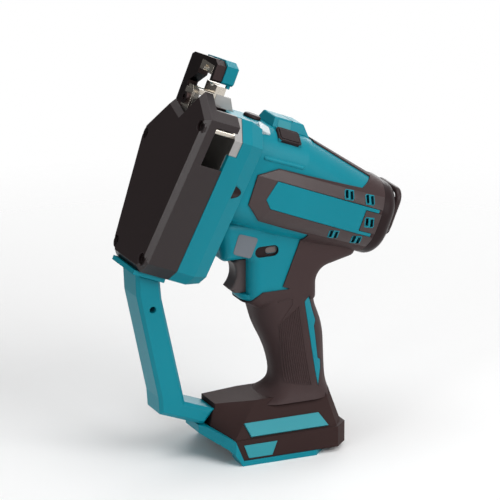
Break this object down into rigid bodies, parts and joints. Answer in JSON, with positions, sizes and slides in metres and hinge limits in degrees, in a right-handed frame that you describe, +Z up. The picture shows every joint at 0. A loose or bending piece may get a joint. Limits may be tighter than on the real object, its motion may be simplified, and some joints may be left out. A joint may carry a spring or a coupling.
{
  "type": "cordless threaded rod cutter",
  "caption": "Hand-held power tool that shears threaded rod: tilted motor barrel with a geared cam head, hooked cutting arm over a fixed die, pistol grip, hand guard and a slide-on battery foot.",
  "frame": {"origin": "middle of the foot's underside, on the plane of the battery rails", "axes": "+X forward, the way the head points; +Y to the tool's left; +Z up along the handle"},
  "size_m": [0.219, 0.093, 0.3073],
  "materials": {
    "teal_plastic": "satin moulded",
    "dark_plastic": "satin moulded",
    "dark_rubber": "soft matte",
    "grey_plastic": "satin moulded",
    "aluminium": "machined",
    "bright_steel": "ground",
    "gear_steel": "oiled",
    "dark_steel": "blackened",
    "lamination": "stacked sheet",
    "copper": "bare",
    "bronze": "sintered",
    "coated_wire": "coated",
    "lamp": "clear",
    "board": "coated"
  },
  "bodies": {
    "frame": {"housing_left": "teal_plastic", "housing_right": "teal_plastic", "foot_skirt": "teal_plastic", "foot_inlay": "teal_plastic", "foot_badge": "teal_plastic", "loop_guard": "teal_plastic", "top_cover": "teal_plastic", "front_cover": "dark_plastic", "rear_cap": "dark_plastic", "foot_shell": "dark_plastic", "end_plate": "dark_plastic", "terminal_block": "dark_plastic", "controller": "dark_plastic", "switch_body": "dark_plastic", "return_switch": "dark_plastic", "top_plug": "dark_plastic", "overmould_left": "dark_rubber", "overmould_right": "dark_rubber", "gear_case": "aluminium", "case_rear_plate": "aluminium", "fixed_die": "bright_steel", "die_clamp": "bright_steel", "standoffs": "bright_steel", "loop_pin": "bright_steel", "bearings": "bright_steel", "front_plate": "gear_steel", "guide_strips": "gear_steel", "die_clamp_screw": "dark_steel", "cover_screws": "dark_steel", "housing_screws": "dark_steel", "stator": "lamination", "windings": "copper", "terminal_blades": "copper", "cam_bushes": "bronze", "idler_bushes": "bronze", "lamp_lens": "lamp", "lamp_board": "board"},
    "cam": {"cam_plate": "gear_steel", "cam_shaft": "bright_steel", "cam_gear": "gear_steel"},
    "cutting_arm": {"cutting_arm": "dark_steel", "moving_die": "bright_steel", "moving_die_screws": "dark_steel", "rod_guard": "teal_plastic", "roller_pin": "bright_steel"},
    "roller": {"roller": "bright_steel"},
    "idler": {"idler_shaft": "bright_steel", "idler_gear": "gear_steel", "idler_pinion": "gear_steel"},
    "rotor": {"rotor_shaft": "bright_steel", "rotor_core": "lamination", "motor_pinion": "gear_steel", "fan": "dark_plastic"},
    "trigger": {"trigger": "grey_plastic"},
    "lock_button": {"lock_button": "grey_plastic"},
    "return_button": {"return_button": "grey_plastic"},
    "hanging_hook": {"hanging_hook": "coated_wire"}
  },
  "joints": [
    {"name": "cam_turn", "type": "hinge", "parent": "frame", "child": "cam", "pos_m": [0.09199, 0, 0.20833], "axis": [0.9272, 0, 0.3746], "range_deg": [-106, 174]},
    {"name": "arm_slide", "type": "slide", "parent": "frame", "child": "cutting_arm", "axis": [0.3746, 0, -0.9272], "range_m": [-0.0054, 0.0088]},
    {"name": "roller_spin", "type": "hinge", "parent": "cutting_arm", "child": "roller", "pos_m": [0.1012, 0, 0.18552], "axis": [0.9272, 0, 0.3746], "continuous": true},
    {"name": "idler_turn", "type": "hinge", "parent": "frame", "child": "idler", "pos_m": [0.08179, 0.01777, 0.23356], "axis": [0.9272, 0, 0.3746], "range_deg": [-581, 354]},
    {"name": "rotor_turn", "type": "hinge", "parent": "frame", "child": "rotor", "pos_m": [0.08, 0, 0.238], "axis": [0.9272, 0, 0.3746], "range_deg": [-1273, 2089]},
    {"name": "trigger_pull", "type": "slide", "parent": "frame", "child": "trigger", "axis": [-1, 0, 0], "range_m": [0, 0.007], "stiffness_N_per_m": 1000, "springref_m": -0.002},
    {"name": "lock_push", "type": "slide", "parent": "frame", "child": "lock_button", "axis": [0, 1, 0], "range_m": [0, 0.005]},
    {"name": "return_press", "type": "slide", "parent": "frame", "child": "return_button", "axis": [0.3244, -0.5, -0.803], "range_m": [0, 0.0025], "stiffness_N_per_m": 800, "springref_m": -0.001},
    {"name": "hook_fold", "type": "hinge", "parent": "frame", "child": "hanging_hook", "pos_m": [-0.09221, 0, 0.16238], "axis": [0, -1, 0], "range_deg": [0, 100]}
  ],
  "couplings": [
    {"joint": "arm_slide", "follows": "cam_turn", "m_per_rad": 0.0028648},
    {"joint": "idler_turn", "follows": "cam_turn", "ratio": -3.3333},
    {"joint": "rotor_turn", "follows": "cam_turn", "ratio": 12}
  ]
}
